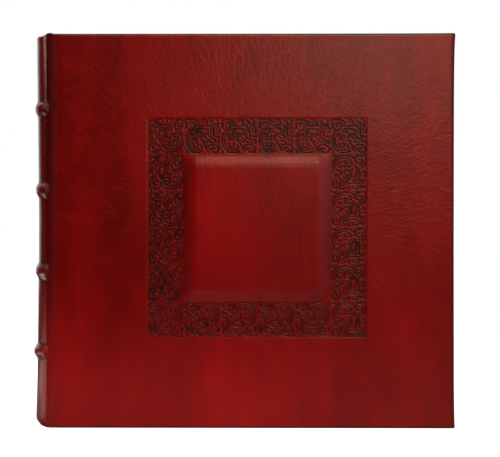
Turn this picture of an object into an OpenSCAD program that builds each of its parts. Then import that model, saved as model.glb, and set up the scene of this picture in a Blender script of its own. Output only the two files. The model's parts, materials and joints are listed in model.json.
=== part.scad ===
// Leather photo album with raised bands, standing upright on the tail edges of its covers.
// The spine is at -X, the front cover faces -Y, and the origin is under the middle of the album.
// The modules draw in a frame of their own: their second axis runs outward from the middle of
// the leaves, and on_front() or on_back() puts what they draw on that side of the album.

/* [Covers] */
// Height of the covers
cover_h = 302; // [260:1:360]
// Width from the tops of the raised bands to the fore-edge
album_w = 323; // [280:1:380]
// Thickness of the closed album over the plain leather
album_t = 48; // [42:1:64]
// Thickness of a cover board
board_t = 2.9; // [2:0.1:4]
// Thickness of the leather
leather_t = 1.2; // [0.8:0.1:1.6]
// Thickness of the leather where it is pared to be turned in
pared_t = 0.4; // [0.3:0.05:0.6]
// Width of the leather turned in over the edges
turn_in = 15; // [10:1:25]
// Thickness of the lining paper pasted inside a cover
pastedown_t = 0.3; // [0.2:0.05:0.5]
// Width of turned-in leather left bare around the lining paper
pastedown_margin = 4; // [2:0.5:8]

/* [Raised panel] */
// Side of the raised panel at its foot
panel_side = 112.5; // [80:0.5:140]
// Width of the bevel around the panel
panel_bevel = 9; // [5:0.5:15]
// Height of the panel above the cover
panel_rise = 2.2; // [1:0.1:3]
// Side of the sunk frame around the panel
frame_side = 168.5; // [150:0.5:200]
// Depth of the sunk frame
frame_depth = 0.6; // [0.2:0.1:0.7]
// How far the panel sits from the middle of the board towards the fore-edge
panel_dx = 2.8; // [-10:0.1:10]
// How far the panel sits above the middle of the board
panel_dz = 2.4; // [-10:0.1:10]

/* [Spine] */
// Angle that the rounded back turns through
spine_turn = 89; // [76:1:100]
// Thickness of the card that stiffens the back
liner_t = 1.3; // [0.8:0.1:2]
// Thickness of the open-weave cloth glued to the back of the leaves
mull_t = 0.4; // [0.2:0.05:0.6]
// Thickness of the kraft paper over that cloth
kraft_t = 0.4; // [0.2:0.05:0.6]
// Number of raised bands
band_count = 4; // [3:1:5]
// Distance from band to band
band_pitch = 62.4; // [45:0.1:64]
// Width of a band's core where it sits on the card
band_base = 8; // [6:0.5:12]
// Width of a band's core at its top
band_top = 4.5; // [2:0.5:5.5]
// Height of a band's core
band_rise = 2.2; // [1:0.1:3]
// How far the leather flares out at the head and the tail
end_flare = 0.8; // [0:0.1:1.5]
// Length of that flare
flare_len = 12; // [5:1:20]
// Width of the hinge groove between the back and a board
joint_w = 5.5; // [4:0.5:9]
// Depth of the hinge groove
groove_depth = 1.3; // [0.5:0.1:1.8]

/* [Leaves] */
// Number of leaves
leaf_count = 16; // [8:2:18]
// Thickness of a card leaf
leaf_t = 0.9; // [0.4:0.1:1.2]
// Thickness of the glassine tissue over each leaf
tissue_t = 0.1; // [0.05:0.05:0.2]
// Thickness of a flyleaf
flyleaf_t = 0.4; // [0.2:0.1:0.6]
// How far the covers stand out past the leaves
square_w = 3.5; // [2:0.5:6]
// Distance from the edge of a board to the fold of the leaves
fold_inset = 9; // [7:0.5:14]
// Free play between the leaves and the lining of each cover
leaf_play = 0.3; // [0.1:0.05:0.6]
// Slit between a part that bends and the part that holds it
fold_slit = 0.1; // [0.05:0.05:0.3]

/* [Sewing] */
// Diameter of the sewing thread
thread_d = 0.6; // [0.4:0.1:0.7]
// Clearance between the thread and the wall of its hole
thread_gap = 0.05; // [0.02:0.01:0.1]
// Free play around a stitch, between a flyleaf and the leaf next to it
stitch_play = 0.1; // [0.05:0.05:0.3]
// Number of sewing stations
station_count = 8; // [4:2:12]
// Distance from the first and last station to the ends of the leaves
station_inset = 24; // [15:1:40]
// Distance from the sewing line to the fold of the leaves
sewing_inset = 4; // [3.5:0.5:5]
// Radius of the bead on the head and tail bands
bead_r = 1.3; // [0.8:0.1:1.6]
// How far that bead sits in from the back of the leaves
bead_inset = 1; // [0.6:0.1:1.5]
// Length of the tape that carries the bead, down the back of the leaves
skirt_len = 10; // [6:1:16]
// Gap between that tape and the open-weave cloth
skirt_gap = 1.5; // [0.5:0.5:4]

/* [Hidden] */
// Surfaces of a cover, measured from the middle of the leaves outward
skin_out = album_t / 2;
board_out = skin_out - leather_t;
board_in = board_out - board_t;
turn_face = board_in - pared_t;
lining_face = turn_face - pastedown_t;
leaves_out = lining_face - leaf_play;

// The back of the leaves and what wraps it, as radii about one upright axis
half_turn = spine_turn / 2;
leaves_r = leaves_out / sin(half_turn);
mull_r = leaves_r + mull_t;
kraft_r = mull_r + kraft_t;
turn_r = kraft_r + pared_t;
liner_r = turn_r + liner_t;
skin_r = liner_r + leather_t;
back_x = band_rise + skin_r - album_w / 2;

// The ends of the joint leather, on the shoulder of the back and on the board
shoulder_out = [back_x - skin_r * cos(half_turn), skin_r * sin(half_turn)];
shoulder_in = [back_x - liner_r * cos(half_turn), liner_r * sin(half_turn)];
board_x = shoulder_out[0] + joint_w;
edge_x = album_w / 2;
fold_x = board_x + fold_inset;
sewing_x = fold_x - sewing_inset;

// Heights and places along the leaves
leaves_h = cover_h - 2 * square_w;
leaves_top = cover_h - square_w;
leaf_edge_x = edge_x - square_w;
sheet_t = leaf_t + tissue_t;
// A stitch is fuller outside the stubs, where no hole squeezes the thread
stitch_d = thread_d + 2 * thread_gap;
// The leaves lie evenly in the space that the flyleaves and the stitches leave
stack_out = leaves_out - flyleaf_t - stitch_d - stitch_play;
leaf_pitch = (2 * stack_out - sheet_t) / (leaf_count - 1);
guard_edge_x = (sewing_x + fold_x) / 2;
outer_guard_x = sewing_x - 2 * stitch_d;
station_pitch = (leaves_h - 2 * station_inset) / (station_count - 1);
panel_x = (board_x + edge_x) / 2 + panel_dx;
panel_z = cover_h / 2 + panel_dz;
panel_top_side = panel_side - 2 * panel_bevel;
band_foot = band_base / 2 + 2 * leather_t;

// The front bears the raised panel, so this keeps the origin midway between front and back
mid_y = panel_rise / 2;
// Slack that carries a cut past the face that it opens
cut = 1;
joint_steps = 10;
band_steps = 8;
flare_steps = 5;
$fn = 96;

leather_red = [0.42, 0.04, 0.05];
card_grey = [0.55, 0.50, 0.42];
kraft_brown = [0.62, 0.47, 0.30];
linen = [0.86, 0.82, 0.72];
ivory = [0.93, 0.89, 0.79];
glassine = [0.92, 0.92, 0.88];
silk_gold = [0.72, 0.52, 0.20];

function two_digits(k) = k < 10 ? str("0", k) : str(k);
function leaf_name(k) = str("leaf_", two_digits(k));
function tissue_name(k) = str("tissue_", two_digits(k));
function band_name(i) = str("raised_band_", i);

// Places along the album
function band_z(i) = cover_h / 2 + (i - (band_count + 1) / 2) * band_pitch;
function station_z(i) = square_w + station_inset + i * station_pitch;
function sheet_bottom(k) = stack_out - sheet_t - (k - 1) * leaf_pitch;
function leaf_top(k) = sheet_bottom(k) + leaf_t;

// A smooth step from 0 to 1
function ease(t) = t <= 0 ? 0 : t >= 1 ? 1 : t * t * (3 - 2 * t);
function between(a, b, t) = a + (b - a) * t;
function reverse(list) = [for (i = [len(list) - 1:-1:0]) list[i]];

// Rise of the leather over a band, at a distance from the band's middle
function over_band(dz) = band_rise * ease((band_foot - abs(dz)) / (band_foot - band_top / 2));
function flare(dz) = end_flare * ease(1 - dz / flare_len);

module on_front() translate([0, mid_y, 0]) mirror([0, 1, 0]) children();
module on_back() translate([0, mid_y, 0]) children();

// A plain block between two corners
module slab(low, high) translate(low) cube(high - low);

// Turns a profile of radius and height around the back of the album
module around_back() {
  translate([back_x, mid_y, 0]) rotate([0, 0, 180 - half_turn])
    rotate_extrude(angle = spine_turn) children();
}

// A ring of the back between two radii and two heights
module back_ring(r0, r1, z0, z1) around_back() translate([r0, z0]) square([r1 - r0, z1 - z0]);

// Square frustum on a face, from one height above it to another
module frustum(foot, top, low, high) {
  profile = [[-foot / 2, low], [foot / 2, low], [top / 2, high], [-top / 2, high]];
  translate([panel_x, 0, panel_z]) intersection() {
    linear_extrude(height = foot, center = true) polygon(profile);
    rotate([0, 90, 0]) linear_extrude(height = foot, center = true) polygon(profile);
  }
}

// Leather of the back: it runs over the band cores, flares at both ends and is turned in there
module spine_leather() {
  skin = concat(
    [for (s = [0:flare_steps]) let (dz = flare_len * s / flare_steps) [skin_r + flare(dz), dz]],
    [for (i = [1:band_count]) for (s = [-band_steps:band_steps])
      let (dz = band_foot * s / band_steps) [skin_r + over_band(dz), band_z(i) + dz]],
    [for (s = [flare_steps:-1:0]) let (dz = flare_len * s / flare_steps)
      [skin_r + flare(dz), cover_h - dz]]
  );
  head_turn = [[kraft_r, cover_h], [kraft_r, cover_h - turn_in], [turn_r, cover_h - turn_in],
    [turn_r, cover_h - leather_t], [liner_r, cover_h - leather_t]];
  cores = [for (i = [band_count:-1:1]) for (p = reverse(band_profile(band_z(i)))) p];
  tail_turn = [[liner_r, leather_t], [turn_r, leather_t], [turn_r, turn_in], [kraft_r, turn_in],
    [kraft_r, 0]];
  color(leather_red) around_back() polygon(concat(skin, head_turn, cores, tail_turn));
}

// Card strip that stiffens the leather of the back
module spine_liner() color(card_grey) back_ring(turn_r, liner_r, leather_t, cover_h - leather_t);

// Cross-section of a band core, as radius and height
function band_profile(z) = [[liner_r, z - band_base / 2], [liner_r + band_rise, z - band_top / 2],
  [liner_r + band_rise, z + band_top / 2], [liner_r, z + band_base / 2]];

// Core under one raised band
module raised_band(i) color(card_grey) around_back() polygon(band_profile(band_z(i)));

// Kraft paper over the back of the leaves
module kraft_lining() color(kraft_brown) back_ring(mull_r, kraft_r, square_w, leaves_top);

// Open-weave cloth glued to the back of the leaves
module mull() {
  inset = square_w + skirt_len + skirt_gap;
  color(linen) back_ring(leaves_r, mull_r, inset, cover_h - inset);
}

// Silk bead on a tape, at one end of the back; way is 1 at the head and -1 at the tail
module end_band(z, way) {
  color(silk_gold) around_back() translate([0, z]) mirror([0, way < 0 ? 1 : 0]) union() {
    translate([leaves_r - bead_inset, bead_r]) circle(r = bead_r);
    translate([leaves_r, -skirt_len]) square([mull_t, skirt_len + bead_r]);
  }
}
module head_band() end_band(leaves_top, 1);
module tail_band() end_band(square_w, -1);

// Outline of a strip bound into the back, between two distances from the middle
module bound_strip(low, high, end_x) {
  intersection() {
    translate([back_x, 0]) circle(r = leaves_r);
    translate([back_x - leaves_r, low]) square([end_x - back_x + leaves_r, high - low]);
  }
}

// Holes for the thread through the stack of stubs
module thread_holes() {
  for (i = [0:station_count - 1])
    translate([sewing_x, -leaves_out - cut, station_z(i)]) rotate([-90, 0, 0])
      cylinder(d = thread_d + 2 * thread_gap, h = 2 * (leaves_out + cut));
}

// Bound edges of the leaves and flyleaves
module leaf_stubs() {
  color(ivory) on_front() {
    translate([0, 0, square_w]) linear_extrude(height = leaves_h) {
      bound_strip(leaves_out - flyleaf_t, leaves_out, fold_x);
      bound_strip(-leaves_out, flyleaf_t - leaves_out, fold_x);
    }
    difference() {
      translate([0, 0, square_w]) linear_extrude(height = leaves_h)
        for (k = [1:leaf_count]) bound_strip(sheet_bottom(k), leaf_top(k), fold_x);
      thread_holes();
    }
  }
}

// Card guards between the stubs, which leave room for photographs between the leaves
module spacer_guards() {
  color(card_grey) on_front() {
    translate([0, 0, square_w]) linear_extrude(height = leaves_h) {
      bound_strip(leaf_top(1), leaves_out - flyleaf_t, outer_guard_x);
      bound_strip(flyleaf_t - leaves_out, sheet_bottom(leaf_count), outer_guard_x);
    }
    difference() {
      translate([0, 0, square_w]) linear_extrude(height = leaves_h)
        for (k = [1:leaf_count - 1]) bound_strip(leaf_top(k + 1), sheet_bottom(k), guard_edge_x);
      thread_holes();
    }
  }
}

// One thread in running stitch through every stub, with its stitches on alternate sides
module sewing_thread() {
  front_run = leaf_top(1) + stitch_d / 2;
  back_run = sheet_bottom(leaf_count) - stitch_d / 2;
  color(linen) on_front() {
    for (i = [0:station_count - 1])
      translate([sewing_x, back_run, station_z(i)]) rotate([-90, 0, 0])
        cylinder(d = thread_d, h = front_run - back_run);
    for (i = [0:station_count - 2])
      translate([sewing_x, i % 2 == 0 ? front_run : back_run, station_z(i) - stitch_d])
        cylinder(d = stitch_d, h = station_pitch + 2 * stitch_d);
  }
}

// Stiff board of a cover
module board() {
  color(card_grey)
    slab([board_x, board_in, leather_t], [edge_x - leather_t, board_out, cover_h - leather_t]);
}
module front_board() on_front() board();
module back_board() on_back() board();

// Leather over the outside of a cover, round its three edges and turned in behind them
module cover_leather() {
  difference() {
    slab([board_x, turn_face, 0], [edge_x, skin_out, cover_h]);
    slab([board_x - cut, board_in, leather_t], [edge_x - leather_t, board_out, cover_h - leather_t]);
    slab([board_x - cut, turn_face - cut, turn_in], [edge_x - turn_in, board_in + cut / 2,
      cover_h - turn_in]);
  }
}
module back_cover_leather() color(leather_red) on_back() cover_leather();

// The front adds the bevelled panel and the sunk frame around it
module front_cover_leather() {
  frame_low = [panel_x - frame_side / 2, skin_out - frame_depth, panel_z - frame_side / 2];
  frame_high = [panel_x + frame_side / 2, skin_out + cut, panel_z + frame_side / 2];
  color(leather_red) on_front() difference() {
    union() {
      difference() {
        cover_leather();
        slab(frame_low, frame_high);
      }
      frustum(panel_side, panel_top_side, skin_out - frame_depth, skin_out + panel_rise);
    }
    frustum(panel_side, panel_top_side, board_out, board_out + panel_rise);
  }
}

// Bevelled board under the leather of the panel
module panel_board() {
  color(card_grey) on_front() frustum(panel_side, panel_top_side, board_out, board_out + panel_rise);
}

// Lining paper, level over the turned-in leather and thick enough to fill the space inside it
module pastedown() {
  slab([board_x, lining_face, pastedown_margin],
    [edge_x - pastedown_margin, turn_face, cover_h - pastedown_margin]);
  slab([board_x, lining_face, turn_in], [edge_x - turn_in, board_in, cover_h - turn_in]);
}
module front_pastedown() color(ivory) on_front() pastedown();
module back_pastedown() color(ivory) on_back() pastedown();

// Leather that bends between the back and a board, sunk in a groove
function joint_line(a, b) = [for (i = [0:joint_steps])
  let (t = between(fold_slit / joint_w, 1, i / joint_steps))
  between(a, b, t) - [0, groove_depth * sin(180 * t)]];

module joint_leather() {
  color(leather_red) linear_extrude(height = cover_h) polygon(concat(
    joint_line(shoulder_out, [board_x, skin_out]),
    reverse(joint_line(shoulder_in, [board_x, board_out]))
  ));
}
module front_joint_leather() on_front() joint_leather();
module back_joint_leather() on_back() joint_leather();

// A sheet from the fold of the leaves to their fore-edge
module sheet(low, high)
  slab([fold_x + fold_slit, low, square_w], [leaf_edge_x, high, leaves_top]);

module front_flyleaf() color(ivory) on_front() sheet(leaves_out - flyleaf_t, leaves_out);
module back_flyleaf() color(ivory) on_back() sheet(leaves_out - flyleaf_t, leaves_out);
module leaf(k) color(ivory) on_front() sheet(sheet_bottom(k), leaf_top(k));
module tissue(k) color(glassine) on_front() sheet(leaf_top(k), leaf_top(k) + tissue_t);

spine_leather();
spine_liner();
for (i = [1:band_count]) raised_band(i);
kraft_lining();
mull();
head_band();
tail_band();
leaf_stubs();
spacer_guards();
sewing_thread();
front_board();
front_cover_leather();
panel_board();
front_pastedown();
front_joint_leather();
back_board();
back_cover_leather();
back_pastedown();
back_joint_leather();
front_flyleaf();
back_flyleaf();
for (k = [1:leaf_count]) leaf(k);
for (k = [1:leaf_count]) tissue(k);
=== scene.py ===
# %% [markdown]
# # A leather photo album
# This script dresses a photo album that a CAD model already holds at its real size. The album
# stands on its tail edge: +Z is up, the spine is at -X and the front cover faces -Y. Blender adds
# the leather, its tooling and its grain, the card leaves and the light. The skins of the covers and
# the spine ride on their CAD bodies, and the other new pieces stay where the CAD model puts them.

# %% Load the frame
import bpy
import bmesh
import json
import math
import random
import numpy as np
from mathutils import Matrix, Vector, noise


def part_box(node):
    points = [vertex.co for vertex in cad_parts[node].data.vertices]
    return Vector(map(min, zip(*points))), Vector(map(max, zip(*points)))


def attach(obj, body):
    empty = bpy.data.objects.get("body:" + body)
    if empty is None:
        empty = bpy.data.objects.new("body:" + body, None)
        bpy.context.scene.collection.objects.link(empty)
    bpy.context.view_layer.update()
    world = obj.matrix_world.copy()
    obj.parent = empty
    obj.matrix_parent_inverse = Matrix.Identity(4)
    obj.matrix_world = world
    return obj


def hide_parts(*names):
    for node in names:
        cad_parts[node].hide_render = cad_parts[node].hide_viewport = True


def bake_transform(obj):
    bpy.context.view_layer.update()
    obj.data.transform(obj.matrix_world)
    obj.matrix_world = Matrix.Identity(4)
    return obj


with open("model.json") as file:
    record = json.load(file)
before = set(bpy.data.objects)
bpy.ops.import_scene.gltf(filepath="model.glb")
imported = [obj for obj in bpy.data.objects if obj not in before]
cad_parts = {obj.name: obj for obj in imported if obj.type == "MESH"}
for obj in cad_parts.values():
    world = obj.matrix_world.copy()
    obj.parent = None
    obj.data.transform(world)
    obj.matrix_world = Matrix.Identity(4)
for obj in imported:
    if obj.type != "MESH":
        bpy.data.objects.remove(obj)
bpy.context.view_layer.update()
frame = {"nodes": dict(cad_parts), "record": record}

# %% [markdown]
# ## Sizes
# The pieces are drawn in millimetres and made metres at the end, because a bookbinder thinks in
# millimetres. Most places come from the boxes of the CAD nodes. A cover is drawn in a frame of its
# own, with its second axis pointing out of the album, so the front and the back share their code.

# %% Read the main sizes from the frame
METRE = 0.001


def box_mm(node):
    """Lowest and highest corners of a CAD node, in millimetres."""
    low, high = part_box(node)
    return Vector(low) / METRE, Vector(high) / METRE


stub_low, stub_high = box_mm("leaf_stubs")
back_low, back_high = box_mm("back_cover_leather")
front_low = box_mm("front_cover_leather")[0]
panel_low, panel_high = box_mm("panel_board")
MIDDLE = (stub_low.y + stub_high.y) / 2
SKIN = back_high.y - MIDDLE
TURN_FACE = back_low.y - MIDDLE
COVER_H = back_high.z
BOARD_X = back_low.x
EDGE_X = back_high.x
PANEL_X = (panel_low.x + panel_high.x) / 2
PANEL_Z = (panel_low.z + panel_high.z) / 2
PANEL_RISE = MIDDLE - front_low.y - SKIN
print("cover", round(EDGE_X - BOARD_X, 1), "x", round(COVER_H, 1), "mm")
print("half thickness", round(SKIN, 2), "mm")
print("panel rises", round(PANEL_RISE, 2), "mm")

# %% [markdown]
# ## From a sketch to an object
# A bmesh is Blender's workbench for a mesh. Each piece is shaped there and then written to an
# object that sits at the origin, so that its material can read Object coordinates. Edges sharper
# than the angle below stay crisp, and all others are shaded smooth.

# %% Helpers that place and finish a piece
SHARP_ANGLE = math.radians(65)


def stand_on(bm, side):
    """Moves a cover sketch to the front (side 1) or the back (side -1) of the album."""
    flip = Matrix.Diagonal((1, -side, 1, 1))
    bmesh.ops.transform(bm, matrix=Matrix.Translation((0, MIDDLE, 0)) @ flip, verts=bm.verts)
    if side > 0:
        bmesh.ops.reverse_faces(bm, faces=bm.faces)


def finish_piece(bm, name, material, nodes=(), body=None, bends=None):
    """Writes a sketch to an object in metres, parents it to its body's empty and hides the CAD nodes
    it replaces.
    """
    bmesh.ops.scale(bm, vec=(METRE, METRE, METRE), verts=bm.verts)
    mesh = bpy.data.meshes.new(name)
    bm.to_mesh(mesh)
    bm.free()
    mesh.materials.append(material)
    mesh.shade_smooth()
    mesh.set_sharp_from_angle(angle=SHARP_ANGLE)
    piece = bpy.data.objects.new(name, mesh)
    bpy.context.scene.collection.objects.link(piece)
    if body:
        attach(piece, body)
    if bends:
        other, start, end = bends
        Vector(start) * METRE
        Vector(end) * METRE
        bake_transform(piece)
    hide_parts(*nodes)
    return piece


print("edges stay crisp from", round(math.degrees(SHARP_ANGLE)), "degrees")

# %% [markdown]
# ## Sheets and closed loops
# Most pieces of an album are sheets. A flat one starts as a grid whose lines stand closer where it
# will bend or roll. A rim of edges can then be extruded step by step, which is how leather is
# wrapped round a board, and a row of equal loops makes a strip that is closed all round.

# %% Helpers that shape a sheet
def ease(t):
    """Smooth step from 0 to 1."""
    t = min(max(t, 0.0), 1.0)
    return t * t * (3 - 2 * t)


def lines(start, end, step):
    """Evenly spaced places from start to end, about a step apart."""
    count = max(1, round(abs(end - start) / step))
    return [start + (end - start) * i / count for i in range(count + 1)]


def grid_on(bm, xs, zs):
    """A sheet of quads with its lines at the given places; it faces out of the album."""
    made = bmesh.ops.create_grid(bm, x_segments=len(xs) - 1, y_segments=len(zs) - 1, size=0.5)
    for vert in made["verts"]:
        column = round((vert.co.x + 0.5) * (len(xs) - 1))
        row = round((vert.co.y + 0.5) * (len(zs) - 1))
        vert.co = (xs[column], 0.0, zs[row])
    faces = {face for vert in made["verts"] for face in vert.link_faces}
    bmesh.ops.reverse_faces(bm, faces=list(faces))
    return made["verts"]


def extrude_rim(bm, rim, keys, place):
    """Extrudes a rim of edges once: each new vertex keeps its neighbour's key and is placed by it."""
    made = bmesh.ops.extrude_edge_only(bm, edges=rim)["geom"]
    new_keys = {}
    for vert in made:
        if isinstance(vert, bmesh.types.BMVert):
            neighbours = [edge.other_vert(vert) for edge in vert.link_edges]
            near = next(other for other in neighbours if other in keys)
            new_keys[vert] = keys[near]
            vert.co = place(keys[near])
    made_edges = [part for part in made if isinstance(part, bmesh.types.BMEdge)]
    return [edge for edge in made_edges if all(v in new_keys for v in edge.verts)], new_keys


def loft(bm, loops):
    """A closed solid through a row of loops that have the same number of points.

    The two end faces have many corners, so they are cut into triangles here.
    """
    first = [bm.verts.new(point) for point in loops[0]]
    rim = [bm.edges.new((first[i - 1], first[i])) for i in range(len(first))]
    keys = {vert: i for i, vert in enumerate(first)}
    caps = bmesh.ops.contextual_create(bm, geom=rim)["faces"]
    for loop in loops[1:]:
        rim, keys = extrude_rim(bm, rim, keys, lambda i, loop=loop: loop[i])
    caps += bmesh.ops.contextual_create(bm, geom=rim)["faces"]
    bmesh.ops.triangulate(bm, faces=caps)
    bmesh.ops.recalc_face_normals(bm, faces=bm.faces)


print("a quarter of the way, ease gives", ease(0.25), "and 4 apart are", lines(0, 12, 4))

# %% [markdown]
# ## Writing materials as sums
# A material in Blender is a graph of nodes. The small class below wraps one output of a node, so
# that `1 - mask * 0.5` adds the Math nodes by itself, and a formula reads like a formula. A second
# class keeps the nodes of one material, and adds the kinds of node that this album needs.

# %% Classes for shader maths
class Signal:
    """One output of a node, which can be added to, taken from and multiplied."""

    def __init__(self, graph, socket):
        self.graph = graph
        self.socket = socket

    def maths(self, operation, *others):
        """One step of maths on this signal, such as ADD or SINE."""
        return self.graph.node("ShaderNodeMath", {"operation": operation}, [self, *others])

    def __add__(self, other):
        return self.maths("ADD", other)

    def __mul__(self, other):
        return self.maths("MULTIPLY", other)

    def __sub__(self, other):
        return self.maths("SUBTRACT", other)

    def __rsub__(self, other):
        return self.graph.node("ShaderNodeMath", {"operation": "SUBTRACT"}, [other, self])

    __radd__ = __add__
    __rmul__ = __mul__

    def between(self, low, high):
        """0 below low, 1 above high, smooth in between."""
        settings = {"interpolation_type": "SMOOTHSTEP"}
        inputs = {"Value": self, "From Min": low, "From Max": high}
        return self.graph.node("ShaderNodeMapRange", settings, inputs)


class Graph:
    """The nodes of one material."""

    def __init__(self, name, **surface):
        self.material = bpy.data.materials.new(name)
        self.material.use_nodes = True
        self.tree = self.material.node_tree
        self.shader = self.tree.nodes["Principled BSDF"]
        self.surface(**surface)

    def set_input(self, socket, value):
        """Links a signal to a socket, or sets the socket to a number or a colour."""
        if isinstance(value, Signal):
            self.tree.links.new(value.socket, socket)
        elif isinstance(value, tuple) and len(value) == 3 and len(socket.default_value) == 4:
            socket.default_value = (*value, 1.0)
        else:
            socket.default_value = value

    def node(self, kind, settings=None, inputs=(), output=0):
        """Adds a node with its settings and inputs, and gives one of its outputs."""
        node = self.tree.nodes.new(kind)
        for key, value in (settings or {}).items():
            setattr(node, key, value)
        pairs = inputs.items() if isinstance(inputs, dict) else enumerate(inputs)
        for key, value in pairs:
            self.set_input(node.inputs[key], value)
        return Signal(self, node.outputs[output])

    def vector(self, operation, *inputs, output=0):
        """One step of vector maths, such as SUBTRACT or LENGTH."""
        return self.node("ShaderNodeVectorMath", {"operation": operation}, inputs, output)

    def surface(self, **inputs):
        """Sets the inputs of the material's shader, such as its colour and roughness."""
        for socket, value in inputs.items():
            self.set_input(self.shader.inputs[socket.replace("_", " ")], value)

    def place_mm(self):
        """Place on the object in millimetres."""
        coordinates = self.node("ShaderNodeTexCoord", output="Object")
        inputs = {0: coordinates, "Scale": 1 / METRE}
        return self.node("ShaderNodeVectorMath", {"operation": "SCALE"}, inputs)

    def axes(self, place):
        """The X, Y and Z of a place as three signals."""
        split = self.node("ShaderNodeSeparateXYZ", inputs=[place])
        return [Signal(self, socket) for socket in split.socket.node.outputs]

    def stretched(self, place, *sizes):
        """Place measured in patches of the given sizes along X, Y and Z."""
        return self.vector("DIVIDE", place, sizes)

    def cloud(self, place, detail=2.0, roughness=0.5, distortion=0.0):
        """A soft random pattern around 0.5, about one patch to a unit of the place."""
        return self.node("ShaderNodeTexNoise", inputs={
            "Vector": place, "Scale": 1.0, "Detail": detail,
            "Roughness": roughness, "Distortion": distortion,
        })

    def ramp(self, value, stops):
        """A colour that runs through the stops, each a place from 0 to 1 and a colour."""
        colour = self.node("ShaderNodeValToRGB", inputs=[value])
        elements = colour.socket.node.color_ramp.elements
        while len(elements) < len(stops):
            elements.new(0.5)
        for element, (place, paint) in zip(elements, stops):
            element.position = place
            element.color = (*paint, 1.0)
        return colour

    def mix(self, factor, first, second):
        """The first colour where the factor is 0, and the second where it is 1."""
        settings = {"data_type": "RGBA"}
        return self.node("ShaderNodeMix", settings, {0: factor, 6: first, 7: second}, output=2)

    def attribute(self, name):
        """A number kept on each vertex, such as how deep the leather is pressed there."""
        return self.node("ShaderNodeAttribute", {"attribute_name": name}, output="Fac")

    def bump(self, height_mm, strength=1.0):
        """Small relief, with its height given in millimetres."""
        inputs = {"Height": height_mm, "Strength": strength, "Distance": METRE}
        return self.node("ShaderNodeBump", inputs=inputs)


def srgb(*levels):
    """A colour as a screen shows it, 0 to 255, in the linear values that a shader needs."""
    shares = [level / 255 for level in levels]
    return tuple(s / 12.92 if s <= 0.04 else ((s + 0.055) / 1.055) ** 2.4 for s in shares)


print("a middle red of the leather in linear values:", [round(s, 4) for s in srgb(130, 2, 3)])

# %% [markdown]
# ## The dye of antiqued leather
# The hide is dyed red, and then a darker stain is sponged over it and rubbed off again, which
# leaves soft patches. An image could be painted for these, but clouds of three sizes need no image
# and stay sharp from close by. A few wide ovals make the leather lighter or darker in places:
# lighter at the bottom, low on the left and down the middle, and darker toward the spine higher up,
# along the top and at the lower right.

# %% The dye
# Wide ovals that make the leather lighter or darker in places.
TONE_OVALS = [
    # middle x, middle z, reach x, reach z, lighter or darker
    (-139, 225, 22, 110, -0.12),
    (-100, 190, 15, 110, -0.10),
    (-84, 125, 22, 55, -0.08),
    (-18, 150, 30, 190, 0.08),
    (-15, 150, 32, 60, 0.04),
    (-20, 20, 90, 55, 0.17),
    (85, 30, 80, 45, -0.075),
    (115, 290, 85, 45, -0.09),
    (0, 292, 90, 25, -0.04),
    (-100, 270, 15, 55, -0.06),
    (-139, 45, 30, 65, 0.18),
]
OVAL_FADE = 1.5
DYE = [
    # place in the tone, colour
    (0.30, srgb(94, 0, 1)), (0.42, srgb(114, 1, 2)), (0.50, srgb(130, 2, 3)),
    (0.60, srgb(148, 3, 5)), (0.72, srgb(168, 6, 8)),
]


def dyed_tone(graph, place):
    """How light the leather is: clouds of three sizes, and wide ovals that make it lighter or darker
    in places.
    """
    patches = graph.cloud(graph.stretched(place, 40, 40, 90), 2.0, 0.5, 0.4)
    blotches = graph.cloud(graph.stretched(place, 13, 13, 26), 1.0, 0.5, 0.3)
    streaks = graph.cloud(graph.stretched(place, 7, 7, 120), 2.0, 0.5)
    tone = patches * 0.35 + blotches * 0.12 + streaks * 0.10 + 0.215
    for middle_x, middle_z, reach_x, reach_z, strength in TONE_OVALS:
        around_it = graph.vector("SUBTRACT", place, (middle_x, 0.0, middle_z))
        share = graph.vector("MULTIPLY", around_it, (1 / reach_x, 0.0, 1 / reach_z))
        distance = graph.vector("LENGTH", share, output=1)
        tone = tone + (1 - distance.between(0.0, OVAL_FADE)) * strength
    return tone


print("sponged ovals:", len(TONE_OVALS), "steps of the dye:", len(DYE))

# %% [markdown]
# ## Creases and grain
# Leather that is pulled over a board and pressed down around a panel creases outward from that
# panel, most of all toward the head. Such creases are thin lines where a cloud crosses its middle
# value, drawn on the angle round the panel and the distance from it. Shorter creases, pores and
# fine pebbles lie everywhere, and close to the panel the grain is longer up and down. Everything is
# bump, because it is a fifth of a millimetre at most.

# %% The creases and the grain
NEAR_PANEL, FAR_FROM_PANEL = 60, 110


def crease_lines(graph, place, sizes, width, distortion=0.6):
    """1 along thin winding lines, 0 away from them."""
    field = graph.cloud(graph.stretched(place, *sizes), 3.0, 0.55, distortion)
    return 1 - (field - 0.5).maths("ABSOLUTE").between(0.0, width)


def drawn_outward(graph, way, radius, fineness, length):
    """A place for patterns that run outward: fine round the panel, and long along the radius."""
    way_x, _, way_z = graph.axes(way)
    inputs = [way_x * fineness, radius * (1 / length), way_z * fineness]
    return graph.node("ShaderNodeCombineXYZ", inputs=inputs)


def pulled_creases(graph, way, radius, outside, sparse):
    """Creases that run outward from the panel."""
    pulled = drawn_outward(graph, way, radius, 18, 26)
    return crease_lines(graph, pulled, (1, 1, 1), 0.08, 0.6) * outside * (0.3 + sparse * 0.5)


def pulled_grain(graph, place, way, radius, outside):
    """Grain drawn outward away from the panel, and upright beside it."""
    drawn = drawn_outward(graph, way, radius, 45, 7)
    upright = graph.cloud(graph.stretched(place, 2.4, 2.4, 7.0), 2.0, 0.6, 0.3)
    return graph.cloud(drawn, 2.0, 0.6, 0.3) * outside + upright * (1 - outside) * 0.8


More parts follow.
